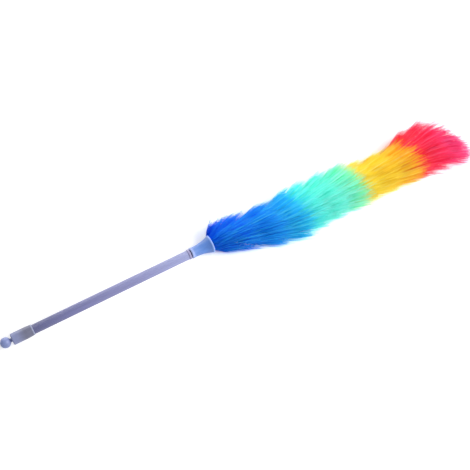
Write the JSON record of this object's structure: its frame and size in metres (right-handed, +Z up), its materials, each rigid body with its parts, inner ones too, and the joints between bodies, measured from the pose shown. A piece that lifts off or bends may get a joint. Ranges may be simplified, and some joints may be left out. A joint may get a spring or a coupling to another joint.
{
  "type": "static duster",
  "caption": "Long static duster: plume of fine plastic fibre in blue, turquoise, yellow and red bands on a twisted wire core, trumpet ferrule, fluted pull-out handle, ball knob.",
  "frame": {"origin": "on the table under the middle of the whole duster's box", "axes": "+X along the handle from the knob towards the plume's tip, +Z up from the table, -Y the side that the plume leans to"},
  "size_m": [0.7294, 0.0866, 0.0471],
  "materials": {
    "milky_plastic": "translucent milky polypropylene, satin",
    "lilac_plastic": "extruded plastic, satin, finely fluted",
    "inner_plastic": "plain extruded plastic",
    "black_rubber": "matt",
    "steel_wire": "bright galvanised wire",
    "blue_fibre": "fine glossy polypropylene fibre",
    "turquoise_fibre": "fine glossy polypropylene fibre",
    "yellow_fibre": "fine glossy polypropylene fibre",
    "red_fibre": "fine glossy polypropylene fibre"
  },
  "bodies": {
    "handle": {"ball_knob": "milky_plastic", "end_cap": "milky_plastic", "outer_tube": "lilac_plastic", "mouth_ring": "lilac_plastic"},
    "head": {"inner_tube": "inner_plastic", "slide_bush": "inner_plastic", "friction_ring": "black_rubber", "ferrule": "milky_plastic", "core_plug": "inner_plastic", "core_wire": "steel_wire", "blue_tuft_1": "blue_fibre", "blue_tuft_2": "blue_fibre", "blue_tuft_3": "blue_fibre", "turquoise_tuft_1": "turquoise_fibre", "turquoise_tuft_2": "turquoise_fibre", "turquoise_tuft_3": "turquoise_fibre", "yellow_tuft_1": "yellow_fibre", "yellow_tuft_2": "yellow_fibre", "yellow_tuft_3": "yellow_fibre", "red_tuft_1": "red_fibre", "red_tuft_2": "red_fibre", "red_tuft_3": "red_fibre"}
  },
  "joints": [
    {"name": "handle_pull_out", "type": "slide", "parent": "handle", "child": "head", "axis": [1, 0, 0], "range_m": [-0.0011, 0.18]}
  ]
}
